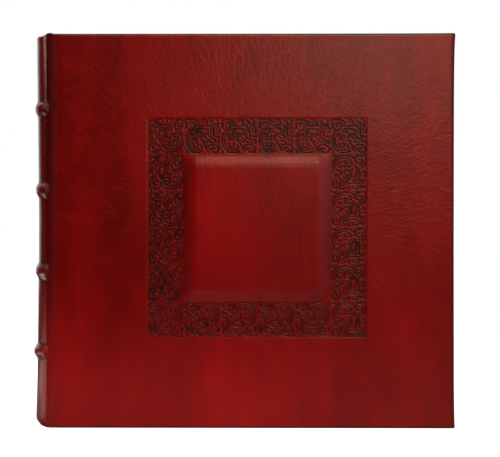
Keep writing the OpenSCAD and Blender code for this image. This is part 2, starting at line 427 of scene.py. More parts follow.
def creases_and_relief(graph, place):
    """Creases from 0 to 1, and the height of all that is fine in the leather, in millimetres."""
    from_panel = graph.vector("SUBTRACT", place, (PANEL_X, 0.0, PANEL_Z))
    flat = graph.vector("MULTIPLY", from_panel, (1.0, 0.0, 1.0))
    radius = graph.vector("LENGTH", flat, output=1)
    way = graph.vector("NORMALIZE", flat)
    z = graph.axes(place)[2]
    toward_head = 0.4 + (z - 40).between(0, 140) * 0.6
    outside = radius.between(NEAR_PANEL, FAR_FROM_PANEL) * toward_head
    sparse = graph.cloud(graph.stretched(place, 13, 13, 13), 1.0).between(0.45, 0.6)
    radial = pulled_creases(graph, way, radius, outside, sparse)
    long = crease_lines(graph, place, (8, 8, 6), 0.06, 1.5) * sparse * 0.5
    short = crease_lines(graph, place, (3, 3, 2.4), 0.1, 1.0) * 0.25
    creases = radial.maths("MAXIMUM", long.maths("MAXIMUM", short))
    grain = pulled_grain(graph, place, way, radius, outside)
    pores = graph.cloud(graph.stretched(place, 2.2, 2.2, 1.8), 1.0)
    pebbles = graph.node("ShaderNodeTexVoronoi", {"feature": "SMOOTH_F1"}, {
        "Vector": graph.stretched(place, 1.1, 1.1, 1.1), "Scale": 1.0, "Smoothness": 0.8})
    return creases, creases * 0.035 + grain * 0.18 + pores * 0.07 + pebbles * 0.008


print("long creases start", NEAR_PANEL, "mm from the middle of the panel")

# %% [markdown]
# ## The finished leather
# The stain that is rubbed off the faces stays in whatever lies deeper, and a polish of wax gives an
# even, low sheen. Two numbers kept on each vertex tell the material where that is: one for the
# pressing of the tooling, and one for stain and painted shade in the grooves, on the sides of the
# panel and along the edges. Crease lines get a painted highlight: they are mixed toward a pale red.

# %% The leather
def make_leather():
    """The material of all leather on the album."""
    graph = Graph("antiqued_leather", IOR=1.5, Specular_IOR_Level=0.3)
    place = graph.place_mm()
    pressed = graph.attribute("pressed")
    stain_and_shade = graph.attribute("stain_and_shade")
    dye = graph.ramp(dyed_tone(graph, place), DYE)
    creases, relief = creases_and_relief(graph, place)
    # Painted highlight: crease lines are mixed toward a pale red, as if they caught the light.
    crease_highlight = graph.mix(creases * 0.35, dye, srgb(160, 18, 16))
    # Stain and painted shade: grooves, edges and the sides of the panel go toward a near black red.
    stained_and_shaded = graph.mix(stain_and_shade, crease_highlight, srgb(40, 0, 1))
    tooled = graph.mix(pressed * 0.97, stained_and_shaded, srgb(24, 1, 1))
    graph.surface(
        Base_Color=tooled,
        Roughness=0.26 + pressed * 0.03,
        Normal=graph.bump(relief, 0.8),
    )
    return graph.material


leather = make_leather()
print("leather, nodes:", len(leather.node_tree.nodes))

# %% [markdown]
# ## The scroll that is stamped around the panel
# A binder presses a heated brass stamp into damp leather, square after square. The stamp here has
# a big double C scroll, two volutes, leaves and small hooks. Each stroke is drawn as a few points
# with a smooth curve through them, and it swells in the middle like a stroke of a graver. All
# numbers are shares of the stamp's side.

# %% The strokes of the stamp
STROKES = [
    # half width, points from left to right and from bottom to top
    (0.017, [(-0.02, 0.93), (0.10, 0.955), (0.25, 0.95), (0.35, 0.90), (0.39, 0.83)]),
    (0.015, [(0.05, 0.86), (0.06, 0.73), (0.13, 0.65), (0.22, 0.68), (0.26, 0.78), (0.21, 0.87),
             (0.14, 0.85), (0.15, 0.78)]),
    (0.012, [(0.27, 0.88), (0.32, 0.84), (0.31, 0.77)]),
    (0.015, [(0.35, 0.79), (0.48, 0.775), (0.62, 0.79), (0.72, 0.77), (0.75, 0.69)]),
    (0.018, [(0.49, 0.955), (0.57, 0.94), (0.62, 0.88), (0.60, 0.83)]),
    (0.013, [(0.45, 0.88), (0.51, 0.90), (0.54, 0.86)]),
    (0.017, [(0.71, 0.93), (0.79, 0.88), (0.83, 0.77), (0.80, 0.66), (0.81, 0.54), (0.84, 0.44)]),
    (0.012, [(0.72, 0.86), (0.76, 0.83), (0.75, 0.78)]),
    (0.017, [(0.88, 0.96), (0.94, 0.89), (0.92, 0.80), (0.96, 0.72), (0.97, 0.63), (0.92, 0.58)]),
    (0.013, [(0.88, 0.83), (0.89, 0.74), (0.88, 0.66)]),
    (0.018, [(0.29, 0.62), (0.38, 0.69), (0.50, 0.71), (0.61, 0.67), (0.66, 0.59), (0.60, 0.55)]),
    (0.014, [(0.41, 0.64), (0.43, 0.57), (0.50, 0.55)]),
    (0.013, [(0.68, 0.69), (0.73, 0.62), (0.72, 0.54)]),
    (0.018, [(0.48, 0.46), (0.53, 0.53), (0.61, 0.54), (0.70, 0.48), (0.77, 0.41), (0.86, 0.38)]),
    (0.015, [(0.45, 0.52), (0.44, 0.42), (0.49, 0.34), (0.55, 0.35)]),
    (0.012, [(0.58, 0.46), (0.63, 0.42), (0.69, 0.41)]),
    (0.012, [(0.17, 0.37), (0.26, 0.385), (0.37, 0.36)]),
    (0.018, [(0.12, 0.63), (0.05, 0.52), (0.03, 0.36), (0.07, 0.20), (0.16, 0.08), (0.28, 0.025),
             (0.42, 0.03), (0.53, 0.07)]),
    (0.012, [(0.17, 0.57), (0.11, 0.46), (0.10, 0.33), (0.14, 0.21), (0.21, 0.13), (0.31, 0.095),
             (0.42, 0.11)]),
    (0.016, [(0.16, 0.47), (0.22, 0.55), (0.26, 0.48), (0.21, 0.43)]),
    (0.014, [(0.22, 0.29), (0.23, 0.20), (0.31, 0.17), (0.37, 0.23), (0.32, 0.29)]),
    (0.018, [(0.50, 0.29), (0.56, 0.25), (0.58, 0.17), (0.61, 0.08)]),
    (0.018, [(0.62, 0.11), (0.66, 0.20), (0.76, 0.245), (0.88, 0.22), (0.96, 0.13), (0.92, 0.04),
             (0.82, 0.03), (0.75, 0.09), (0.80, 0.15), (0.86, 0.12)]),
    (0.013, [(0.62, 0.32), (0.67, 0.36), (0.73, 0.32), (0.79, 0.31)]),
    (0.014, [(0.88, 0.49), (0.94, 0.46), (1.00, 0.48)]),
    (0.014, [(0.87, 0.31), (0.94, 0.36), (0.99, 0.31), (0.95, 0.27)]),
    (0.012, [(0.44, 0.24), (0.48, 0.19), (0.45, 0.14)]),
    (0.014, [(0.01, 0.12), (0.06, 0.06), (0.02, 0.02)]),
    (0.014, [(0.00, 0.70), (0.03, 0.78), (0.00, 0.86)]),
    (0.013, [(0.33, 0.55), (0.36, 0.48), (0.31, 0.44)]),
    (0.012, [(0.66, 0.05), (0.70, 0.11), (0.69, 0.16)]),
]
STEPS_BETWEEN = 8
print("strokes in the stamp:", len(STROKES))

# %% [markdown]
# ## How far is a place from a stroke?
# A stroke could be modelled as a tube and cut out of the leather, but hundreds of such cuts would
# be slow and leave a torn mesh. A distance is enough: wherever a place of the leather lies nearer
# to a stroke than half the stroke's width, the leather sinks.

# %% Measure the distance to the strokes
FAR_AWAY = 9.0


def smooth_path(points):
    """A smooth curve through the points, as many short steps."""
    knots = [np.array(point) for point in points]
    knots = [2 * knots[0] - knots[1]] + knots + [2 * knots[-1] - knots[-2]]
    path = []
    for a, b, c, d in zip(knots, knots[1:], knots[2:], knots[3:]):
        for t in np.arange(STEPS_BETWEEN) / STEPS_BETWEEN:
            path.append(b + (c - a) * t / 2 + (2 * a - 5 * b + 4 * c - d) * t ** 2 / 2
                        + (3 * b - a - 3 * c + d) * t ** 3 / 2)
    return np.array(path + [knots[-2]])


def distance_to_strokes(u, w):
    """Distance from each place on the stamp to the edge of the nearest stroke."""
    best = np.full(u.shape, FAR_AWAY)
    for half_width, points in STROKES:
        path = smooth_path(points)
        swell = 0.55 + 0.45 * np.sin(np.linspace(0, math.pi, len(path)))
        to_middle = np.hypot(u[:, None] - path[:, 0], w[:, None] - path[:, 1])
        away = to_middle - 0.85 * half_width * swell
        best = np.minimum(best, away.min(axis=1))
    return best


middle_of_stamp = distance_to_strokes(np.array([0.5]), np.array([0.5]))[0]
print("nearest stroke to the middle of the stamp, in sides:", round(float(middle_of_stamp), 3))

# %% [markdown]
# ## Stamping the leather
# The stamp's side is a sixth of the frame's. Each impression is turned with its side of the frame
# and sits a little askew, as work by hand does. A bump would look flat from the side, so the relief
# is real geometry: a fine grid sinks where a stroke passes. Its depth is kept on each vertex, and
# the stain is darkest in the strokes, spreads a little beside them and fills a few small grounds.

# %% Press one impression
FRAME_HALF = 84.25
STAMPS = 6
STAMP = 2 * FRAME_HALF / STAMPS
STAMP_STEPS = 64
STAMP_STEP = STAMP / STAMP_STEPS
# millimetres
PRESS_DEPTH = 0.17
GROUND_DEPTH = 0.1
BORDER_SLOPE = 0.35
# shares of the stamp's side
SHOULDER = 0.017
STAIN_REACH = 0.055
STAMP_RIM = 0.012
SLIP = 0.012
GROUNDS = [
    # middle and reach, as shares of the stamp
    (0.36, 0.61, 0.085, 0.075), (0.57, 0.48, 0.06, 0.04), (0.29, 0.40, 0.09, 0.035),
]
# shares of the full depth, the full stain and the full size
GROUND_SHARE = 0.4
HALO = 0.6
LEAST_STAIN = 0.32
GROWTH = 1.04
PRESSURE = (0.85, 1.0)
ASKEW_DEGREES = 1.4
by_hand = random.Random(7)


def undulation(x, z):
    """The slight unevenness of hide on a board, in millimetres."""
    broad = noise.noise(Vector((x / 70, z / 80, 3.1)))
    close = noise.noise(Vector((x / 24, z / 30, 8.7)))
    return 0.16 * broad + 0.05 * close


def set_down(u, w, quarter_turns):
    """Places on the stamp, after a hand has turned it and set it down a little askew."""
    askew = math.radians(by_hand.uniform(-ASKEW_DEGREES, ASKEW_DEGREES)) + quarter_turns * math.pi / 2
    slip_u, slip_w = by_hand.uniform(-SLIP, SLIP), by_hand.uniform(-SLIP, SLIP)
    turned_u = (u * math.cos(askew) + w * math.sin(askew)) * GROWTH + 0.5 + slip_u
    turned_w = (w * math.cos(askew) - u * math.sin(askew)) * GROWTH + 0.5 + slip_w
    return turned_u, turned_w


def sink_and_stain(u, w):
    """How deep the leather sinks and how dark it is stained at places on the stamp, from 0 to 1."""
    away = distance_to_strokes(u, w)
    sunk = np.clip((SHOULDER - away) / SHOULDER, 0, 1)
    sunk = sunk * sunk * (3 - 2 * sunk)
    halo = HALO * np.clip((STAIN_REACH - away) / (STAIN_REACH - SHOULDER), 0, 1)
    stain = np.maximum(np.maximum(sunk, halo), LEAST_STAIN)
    for middle_u, middle_w, reach_u, reach_w in GROUNDS:
        distance = np.hypot((u - middle_u) / reach_u, (w - middle_w) / reach_w)
        ground = np.clip(3 - 3 * distance, 0, 1)
        stain = np.maximum(stain, ground)
        sunk = np.maximum(sunk, GROUND_SHARE * ground)
    return sunk, stain


def press_stamp(bm, layer, column, row, quarter_turns, ink):
    """Adds one stamped square of the frame, counted from the frame's lower left corner."""
    low_x = PANEL_X - FRAME_HALF + column * STAMP
    low_z = PANEL_Z - FRAME_HALF + row * STAMP
    xs = lines(low_x, low_x + STAMP, STAMP_STEP)
    zs = lines(low_z, low_z + STAMP, STAMP_STEP)
    verts = grid_on(bm, xs, zs)
    u = np.array([(v.co.x - low_x) / STAMP for v in verts]) - 0.5
    w = np.array([(v.co.z - low_z) / STAMP for v in verts]) - 0.5
    sunk, stain = sink_and_stain(*set_down(u, w, quarter_turns))
    from_rim = 0.5 - np.maximum(np.abs(u), np.abs(w))
    sunk = sunk * np.clip(from_rim / STAMP_RIM, 0, 1) * by_hand.uniform(*PRESSURE)
    for vert, depth, dark in zip(verts, sunk, stain):
        x, z = vert.co.x, vert.co.z
        out = max(abs(x - PANEL_X), abs(z - PANEL_Z))
        to_border = min(FRAME_HALF - out, out - FRAME_HALF + STAMP)
        share = min(1.0, to_border / BORDER_SLOPE)
        vert.co.y = SKIN + undulation(x, z) - GROUND_DEPTH * share - depth * PRESS_DEPTH
        uneven = 0.8 + 1.1 * noise.noise(Vector((x / 5, z / 5, 1.7)))
        vert[layer] = min(1.0, max(depth, dark * uneven * ink)) * (0.5 + 0.5 * share)


print("stamp", round(STAMP, 2), "mm, a grid line every", round(STAMP_STEP, 2), "mm")

# %% [markdown]
# ## The hinge groove
# Between the spine and each board the leather dips into a groove, so that the board can swing. The
# groove is given as a few points across it, from the shoulder of the spine to a little way onto the
# board, and a smooth curve is passed through them. The CAD hinge says where the shoulder is.

# %% The leather's outer surface across the groove
joints = frame["record"]["behaviour"]["joints"]
hinge = next(joint for joint in joints if joint["name"] == "front_hinge")
HINGE_X = hinge["pos_m"][0] / METRE
AXIS_FROM_SHOULDER = 0.497
SHOULDER_X = HINGE_X - AXIS_FROM_SHOULDER
GROOVE = [
    (SHOULDER_X, SKIN - 2.51), (SHOULDER_X + 0.9, SKIN - 2.40), (SHOULDER_X + 2.1, SKIN - 2.27),
    (SHOULDER_X + 3.8, SKIN - 1.72), (BOARD_X, SKIN - 1.08), (BOARD_X + 1.8, SKIN - 0.5),
    (BOARD_X + 4.2, SKIN - 0.06), (BOARD_X + 8, SKIN + 0.05), (BOARD_X + 13, SKIN),
]


def through(points, x):
    """Height at x of a smooth curve through the points, with a slope at each from its neighbours."""
    if x >= points[-1][0]:
        return points[-1][1]
    index = max(i for i in range(len(points) - 1) if i == 0 or points[i][0] <= x + 1e-6)
    slopes = []
    for i in (index, index + 1):
        before, after = points[max(i - 1, 0)], points[min(i + 1, len(points) - 1)]
        slopes.append((after[1] - before[1]) / (after[0] - before[0]))
    (x0, y0), (x1, y1) = points[index], points[index + 1]
    t, span = (x - x0) / (x1 - x0), x1 - x0
    return ((2 * t ** 3 - 3 * t ** 2 + 1) * y0 + (t ** 3 - 2 * t ** 2 + t) * span * slopes[0]
            + (3 * t ** 2 - 2 * t ** 3) * y1 + (t ** 3 - t ** 2) * span * slopes[1])


def cover_surface(x, z):
    """Outer surface of a plain cover."""
    return through(GROOVE, x) + undulation(x, z) * ease((x - BOARD_X) / 12)


print("groove", round(BOARD_X - SHOULDER_X, 2), "mm wide, its shoulder at x", round(SHOULDER_X, 2))

# %% [markdown]
# ## A cover's leather
# The skin of a cover is one sheet. It dips into the hinge groove, lies over the board, rolls round
# three edges and is turned in behind them with mitred corners. The sheet starts as a grid, and its
# outer edge is extruded again and again along the profile of the roll. A board with a bevel would
# give edges as straight as a machine's; here the folds under the corners make them stand out a bit.

# %% Roll the sheet round the board
TURN_IN = 15.0
ROLL = 2.3
INNER_ROLL = 1.0
FLAP_LIFT = 0.35
CORNER = 1.7
HEAD_LUMP, TAIL_LUMP = 1.5, 1.0
FLAT_X = EDGE_X - ROLL
FLAT_LOW = ROLL
FLAT_HIGH = COVER_H - ROLL


def roll_profile():
    """Outward offset and height of the leather as it goes round an edge."""
    steps = []
    for i in range(1, 7):
        angle = math.radians(90 * i / 6)
        steps.append((ROLL * math.sin(angle), SKIN - ROLL * (1 - math.cos(angle))))
    for i in range(4):
        angle = math.radians(90 * i / 3)
        back = INNER_ROLL * (1 - math.cos(angle))
        steps.append((ROLL - back, TURN_FACE + INNER_ROLL * (1 - math.sin(angle))))
    steps.append((ROLL - TURN_IN / 2, TURN_FACE))
    steps.append((ROLL - TURN_IN, TURN_FACE))
    steps.append((ROLL - TURN_IN, TURN_FACE + FLAP_LIFT))
    return steps


def on_outline(x, z, offset):
    """Moves a place on the flat's edge outward, keeping mitres and rounding the corners."""
    half = (FLAT_HIGH - FLAT_LOW) / 2
    middle = (FLAT_HIGH + FLAT_LOW) / 2
    to_side, to_end = FLAT_X - x, min(z - FLAT_LOW, FLAT_HIGH - z)
    lump = (HEAD_LUMP if z > middle else TAIL_LUMP) / (1 + to_end / 13) / (1 + to_side / 25)
    proud_x, proud_z = offset + lump, offset + 0.3 * lump
    new_x = BOARD_X + (x - BOARD_X) * (FLAT_X + proud_x - BOARD_X) / (FLAT_X - BOARD_X)
    new_z = middle + (z - middle) * (half + proud_z) / half
    way = 1 if new_z > middle else -1
    corner_x = FLAT_X + proud_x - CORNER
    corner_z = middle + way * (half + proud_z - CORNER)
    over_x, over_z = new_x - corner_x, (new_z - corner_z) * way
    if over_x > 0 and over_z > 0:
        share = max(over_x, over_z) / math.hypot(over_x, over_z)
        new_x = corner_x + over_x * share
        new_z = corner_z + way * over_z * share
    return new_x, new_z


def wrap_edges(bm):
    """Extrudes the three free edges of a cover sheet round the board and turns them in."""
    def at_end(vert):
        return vert.co.x > FLAT_X - 0.01 or not FLAT_LOW + 0.01 < vert.co.z < FLAT_HIGH - 0.01

    rim = [e for e in bm.edges if e.is_boundary and all(at_end(v) for v in e.verts)]
    keys = {vert: tuple(vert.co) for edge in rim for vert in edge.verts}
    for vert, (x, height, z) in keys.items():
        vert.co.x, vert.co.z = on_outline(x, z, 0.0)
    for offset, height in roll_profile():
        def place(key):
            """A place on the next loop of the roll; the dip of the groove fades out on the way."""
            x, z = on_outline(key[0], key[2], offset)
            keep = ease((height - TURN_FACE) / (SKIN - TURN_FACE))
            return x, height + (key[1] - SKIN) * keep, z
        rim, keys = extrude_rim(bm, rim, keys, place)


print("steps round an edge:", len(roll_profile()))

# %% [markdown]
# ## Where the cover's grid lines run, and where stain and painted shade go
# A grid of one size everywhere would be too coarse at the edges or too heavy in the middle. Lines
# stand close in the groove and where the leather rolls, every 4 mm on the plain leather, and in
# whole steps of the stamps at the frame, so that both can be joined there later. The groove is
# darkened with stain and painted shade, more toward the head, the head and tail edges are darkened,
# and the rolled fore edge gets painted shade.

# %% Lay out the grid, the stain and the painted shade
BESIDE_FRAME = 0.8
PLAIN_STEP = 4
NEAR_EDGE = (4.0, 2.0, 1.2, 0.6, 0.0)
# Darker head and tail edges, and painted shade on the rolled fore edge.
END_DARKENING, SIDE_SHADE = 0.7, 0.6


def edge_lines(start, end, step):
    """Grid lines that crowd together over the last millimetres, where the leather rolls."""
    near = [end - gap for gap in NEAR_EDGE]
    return lines(start, near[0], step)[:-1] + near


def cover_lines():
    """Places of a cover's grid lines, across and up."""
    low, high = PANEL_X - FRAME_HALF, PANEL_X + FRAME_HALF
    groove_end = BOARD_X + 9
    xs = lines(BOARD_X, groove_end, 0.9)[:-1]
    xs += lines(groove_end, low - BESIDE_FRAME, PLAIN_STEP)
    xs += lines(low, high, 8 * STAMP_STEP)
    xs += edge_lines(high + BESIDE_FRAME, FLAT_X, PLAIN_STEP)
    low, high = PANEL_Z - FRAME_HALF, PANEL_Z + FRAME_HALF
    flip = FLAT_LOW + FLAT_HIGH
    tail = edge_lines(flip - low + BESIDE_FRAME, FLAT_HIGH, PLAIN_STEP)
    zs = [flip - z for z in reversed(tail)]
    zs += lines(low, high, 8 * STAMP_STEP)
    zs += edge_lines(high + BESIDE_FRAME, FLAT_HIGH, PLAIN_STEP)
    return xs, zs


def groove_stain_and_shade(x, z):
    """Stain and painted shade in the hinge groove; the painted shade is darker toward the head."""
    return 0.72 * (1 - ease((x - SHOULDER_X - 1) / 8)) * (0.1 + 0.9 * ease(z / 220))


def stain_and_shade_cover(bm, layer):
    """Keeps on each vertex how dark it is: stain and painted shade in the groove, darker head and
    tail edges, and painted shade on the rolled fore edge.
    """
    for vert in bm.verts:
        groove = groove_stain_and_shade(vert.co.x, vert.co.z)
        end = ease(max(FLAT_LOW - vert.co.z, vert.co.z - FLAT_HIGH) / ROLL)
        side = ease((vert.co.x - FLAT_X + 0.6) / 1.6)
        vert[layer] = max(groove, end * END_DARKENING, side * SIDE_SHADE)


print("grid lines of a cover, across and up:", [len(places) for places in cover_lines()])

# %% [markdown]
# ## The raised panel
# A bevelled board lies under the leather in the middle of the front cover. The leather goes over it
# in one piece, so its foot and its shoulder are soft. The bevel operator would round them evenly;
# a height worked out from the distance to the foot lets each have its own softness.

# %% Shape the panel
BEVEL_FOOT, BEVEL_TOP = 0.8, 8.8
FOOT_BLUR, TOP_BLUR = 0.8, 1.6
BEVEL_STEPS = (0, 1, 3, 5, 8, 11, 14, 17, 20, 22, 24)
FLAT_FROM_STEP = 28
PANEL_SINK = 0.2


def soft(distance, blur):
    """The distance where it is above 0, and 0 below, with a round corner in between."""
    if distance >= blur:
        return distance
    return max(distance, max(distance + blur, 0) ** 2 / (4 * blur))


def bevel_rise(inward):
    """Share of the rise at a distance from the panel's foot: a straight bevel with soft corners."""
    climb = soft(inward - BEVEL_FOOT, FOOT_BLUR) - soft(inward - BEVEL_TOP, TOP_BLUR)
    return climb / (BEVEL_TOP - BEVEL_FOOT)


def add_panel(bm, layer):
    """The raised panel: a sheet that climbs a soft bevel on all four sides."""
    half = FRAME_HALF - STAMP
    bevel = [i * STAMP_STEP for i in BEVEL_STEPS]
    flat = half - FLAT_FROM_STEP * STAMP_STEP
    offsets = [inward - half for inward in bevel]
    offsets += lines(-flat, flat, 8 * STAMP_STEP)
    offsets += [half - inward for inward in reversed(bevel)]
    verts = grid_on(bm, [PANEL_X + o for o in offsets], [PANEL_Z + o for o in offsets])
    for vert in verts:
        to_side = bevel_rise(half - abs(vert.co.x - PANEL_X))
        to_end = bevel_rise(half - abs(vert.co.z - PANEL_Z))
        rise = (PANEL_RISE - PANEL_SINK) * to_side * to_end
        vert.co.y = SKIN + undulation(vert.co.x, vert.co.z) + rise
        # Stain and painted shade on the left and right sides of the bevel.
        vert[layer] = 0.45 * (1 - to_side) * to_end


print("half way up the bevel the share of the rise is", round(bevel_rise(4.8), 2))

# %% [markdown]
# ## Joining the stamps and the plain leather
# The stamps have a much finer grid than the leather around them. Where two grids meet with
# different steps, their edges don't quite follow one another and fine cracks stay open. So the
# plain leather's edges at the frame are first cut into steps as long as those of the stamps, and
# then the vertices that lie on one another are merged.

# %% Find and join the seams
SEAM = 0.05


def at_frame(vert):
    """Whether a vertex lies on the frame's outline or inside it."""
    return max(abs(vert.co.x - PANEL_X), abs(vert.co.z - PANEL_Z)) < FRAME_HALF + 0.01


def frame_rim(parts):
    """Those of the given edges or vertices that bound a gap at the frame."""
    found = []
    for part in parts:
        ends = getattr(part, "verts", [part])
        if part.is_boundary and all(at_frame(vert) for vert in ends):
            found.append(part)
    return found


def match_stamps(bm):
    """Cuts the plain leather's edges along the frame into steps as long as those of the stamps."""
    steps = {edge: round(edge.calc_length() / STAMP_STEP) for edge in frame_rim(bm.edges)}
    for count in sorted(set(steps.values()) - {1}):
        edges = [edge for edge, number in steps.items() if number == count]
        bmesh.ops.subdivide_edges(bm, edges=edges, cuts=count - 1)
    return frame_rim(bm.verts)


def sew_seams(bm, plain):
    """Joins the stamps to the plain leather's vertices and to each other."""
    found = bmesh.ops.find_doubles(bm, verts=frame_rim(bm.verts), keep_verts=plain, dist=SEAM)
    bmesh.ops.weld_verts(bm, targetmap=found["targetmap"])
    bmesh.ops.remove_doubles(bm, verts=frame_rim(bm.verts), dist=SEAM)
    print("vertices joined to plain leather:", len(found["targetmap"]))


# %% [markdown]
# ## Both covers
# The front has the panel and its stamped frame, set into a hole in the plain leather. The stain in
# the frame is strongest along the top and weakest along the bottom. The back is taken to be plain,
# the usual way with such albums.

# %% Build the skins of the covers
def leather_sketch():
    """A sketch that keeps on each vertex how deep it is pressed, and how much stain and painted shade
    darken it.
    """
    bm = bmesh.new()
    return bm, bm.verts.layers.float.new("pressed"), bm.verts.layers.float.new("stain_and_shade")


def open_frame(bm):
    """Cuts the plain leather away where the stamped frame and the panel come."""
    centres = {face: face.calc_center_median() for face in bm.faces}
    under = [face for face, c in centres.items()
             if max(abs(c.x - PANEL_X), abs(c.z - PANEL_Z)) < FRAME_HALF]
    bmesh.ops.delete(bm, geom=under, context="FACES")


def stamp_frame(bm, pressed):
    """Stamps the four sides of the frame, one square after the other."""
    last = STAMPS - 1
    for i in range(last):
        press_stamp(bm, pressed, i + 1, last, 0, 1.0)
        press_stamp(bm, pressed, last, i, -1, 0.85)
        press_stamp(bm, pressed, i, 0, 2, 0.7)
        press_stamp(bm, pressed, 0, i + 1, 1, 0.95)


def make_cover(side, name, body, node, tooled):
    """The skin of the front cover (side 1) or of the back cover (side -1)."""
    bm, pressed, stain_and_shade = leather_sketch()
    for vert in grid_on(bm, *cover_lines()):
        vert.co.y = cover_surface(vert.co.x, vert.co.z)
    wrap_edges(bm)
    stain_and_shade_cover(bm, stain_and_shade)
    if tooled:
        open_frame(bm)
        add_panel(bm, stain_and_shade)
        plain = match_stamps(bm)
        stamp_frame(bm, pressed)
        sew_seams(bm, plain)
    stand_on(bm, side)
    return finish_piece(bm, name, leather, [node], body=body)


front_skin = make_cover(1, "front_cover_skin", "front_cover", "front_cover_leather", True)
back_skin = make_cover(-1, "back_cover_skin", "back_cover", "back_cover_leather", False)
print("cover skins, faces:", len(front_skin.data.polygons), len(back_skin.data.polygons))

# %% [markdown]
# ## The rounded spine
# The leather of the spine is a profile spun through 89 degrees about an upright axis. The profile
# runs up the outside over four raised bands, rolls over at the head, goes down behind a stiff card
# strip and comes back at the tail, so it is closed. Leather that is drawn over bands is slack
# between them, which shows as a soft hollow in the middle and more fullness at both ends.

# %% The profile of the spine
liner_low, liner_high = box_mm("spine_liner")
HALF_TURN = math.radians(44.5)
LINER_R = (liner_high.y - liner_low.y) / 2 / math.sin(HALF_TURN)
LINER_CARD = 1.3
LEATHER = 1.2
PARED = 0.4
LINER_INNER_R = LINER_R - LINER_CARD
FLAP_R = LINER_INNER_R - PARED
BACK_X = liner_low.x + LINER_R
SPINE_R = LINER_R + LEATHER
BAND_BOXES = [box_mm(f"raised_band_{i}") for i in range(1, 5)]
BANDS = [(low.z + high.z) / 2 for low, high in BAND_BOXES]
BAND_RISES = [2.6, 2.2, 2.2, 1.9]
BAND_REACH = 7.5
BAND_STEP, BETWEEN_STEP = 0.6, 2.5
END_REACH = 2.6
TAIL_ROLL = 4.6
HEAD_ROLL = 2.4
LINER_GAP = 1.2
FULL_ENDS, FULL_TAIL, SLACK_MIDDLE = 1.75, 0.6, 0.6


def fullness(z):
    """How far the leather stands off: slack in the middle, fuller to both ends, most at the tail."""
    from_middle = abs(2 * z / COVER_H - 1)
    toward_end = math.sqrt(from_middle ** 2 + 0.02) - 0.14
    toward_tail = 1 - ease(z / 45)
    return FULL_ENDS * toward_end + FULL_TAIL * toward_tail - SLACK_MIDDLE


def shoulder_radius(z):
    """Radius of the spine's outer surface where it meets a hinge groove."""
    rises = [rise * (1 - ease((abs(z - band) - 1.0) / 6.0)) for band, rise in zip(BANDS, BAND_RISES)]
    return SPINE_R + max(rises)


def spine_radius(z):
    """Radius of the spine's outer surface along its middle."""
    return shoulder_radius(z) + fullness(z)


def spine_heights():
    """Heights along the spine, closer together over the bands."""
    heights = [TAIL_ROLL]
    for band in BANDS:
        foot, top = band - BAND_REACH, band + BAND_REACH
        heights += lines(heights[-1], foot, BETWEEN_STEP)[1:]
        heights += lines(foot, top, BAND_STEP)[1:]
    return heights + lines(heights[-1], COVER_H - HEAD_ROLL, BETWEEN_STEP)[1:]


def spine_profile():
    """The closed outline of the leather, as radius and height."""
    points = [(spine_radius(z), z) for z in spine_heights()]
    for roll, way, end in ((HEAD_ROLL, 1, COVER_H), (TAIL_ROLL, -1, 0.0)):
        outer = spine_radius(end - way * roll)
        arc = []
        for i in range(1, 9):
            angle = math.radians(90 * i / 8)
            height = end - way * roll * (1 - math.sin(angle))
            arc.append((outer - END_REACH * (1 - math.cos(angle)), height))
        flap_end, liner_end = end - way * TURN_IN, end - way * LINER_GAP
        arc += [(FLAP_R + 0.35, end - way * 0.15), (FLAP_R, end - way * 0.7), (FLAP_R, flap_end)]
        arc += [(LINER_INNER_R, flap_end), (LINER_INNER_R, liner_end), (LINER_R, liner_end)]
        points += arc if way > 0 else reversed(arc)
    return points


print("radius of the back", round(LINER_R, 2), "mm, points in the profile:", len(spine_profile()))

# %% [markdown]
# ## Spin and settle the spine
# The spin operator carries the profile round and both ends get a face. Then each vertex moves a
# little: the surface is uneven as hide is, it settles down toward both grooves, and in the middle
# of the spine the tail is drawn up and the head a little down. Stain gathers at the feet of the
# bands and at both ends, and beside the grooves stain and painted shade darken the leather.

# %% Build the spine
SPIN_STEPS = 44
BAND_FOOT = 6.5
TAIL_DRAW, HEAD_DRAW = 2.4, 0.6


def around(radius, angle, z):
    """A place by its distance from the back's axis and its angle from the middle of the spine."""
    return Vector((BACK_X - radius * math.cos(angle), MIDDLE + radius * math.sin(angle), z))


def stain_spine(vert, stain_and_shade):
    """Keeps on a vertex how much stain gathers at the bands' feet, the head and the tail."""
    from_band = min(abs(vert.co.z - band) for band in BANDS)
    foot = 1 - ease(abs(from_band - BAND_FOOT) / 3.0)
    end = 1 - ease((min(vert.co.z, COVER_H - vert.co.z) - 1) / 4)
    vert[stain_and_shade] = 0.55 * max(foot, end)


def settle_spine(vert, stain_and_shade, out, angle):
    """Makes the outer surface uneven, lays it down beside the grooves and darkens it there with stain
    and painted shade.
    """
    to_shoulder = HALF_TURN - abs(angle)
    fade = min(1.0, to_shoulder / 0.12)
    at_shoulder = 1 - min(1.0, to_shoulder / 0.09)
    vert[stain_and_shade] = max(vert[stain_and_shade], groove_stain_and_shade(SHOULDER_X, vert.co.z) * at_shoulder)
    lift = 0.12 * noise.noise(Vector((angle * 1.6, vert.co.z / 20, 5.0))) * fade
    sideways = max(abs(angle) / HALF_TURN * 3.5 - 2.5, 0) ** 2
    settle = sideways * min(1.0, (out.length - LINER_R - 0.5) / 0.7)
    lift -= fullness(min(max(vert.co.z, 0), COVER_H)) * settle
    vert.co += out.normalized() * lift


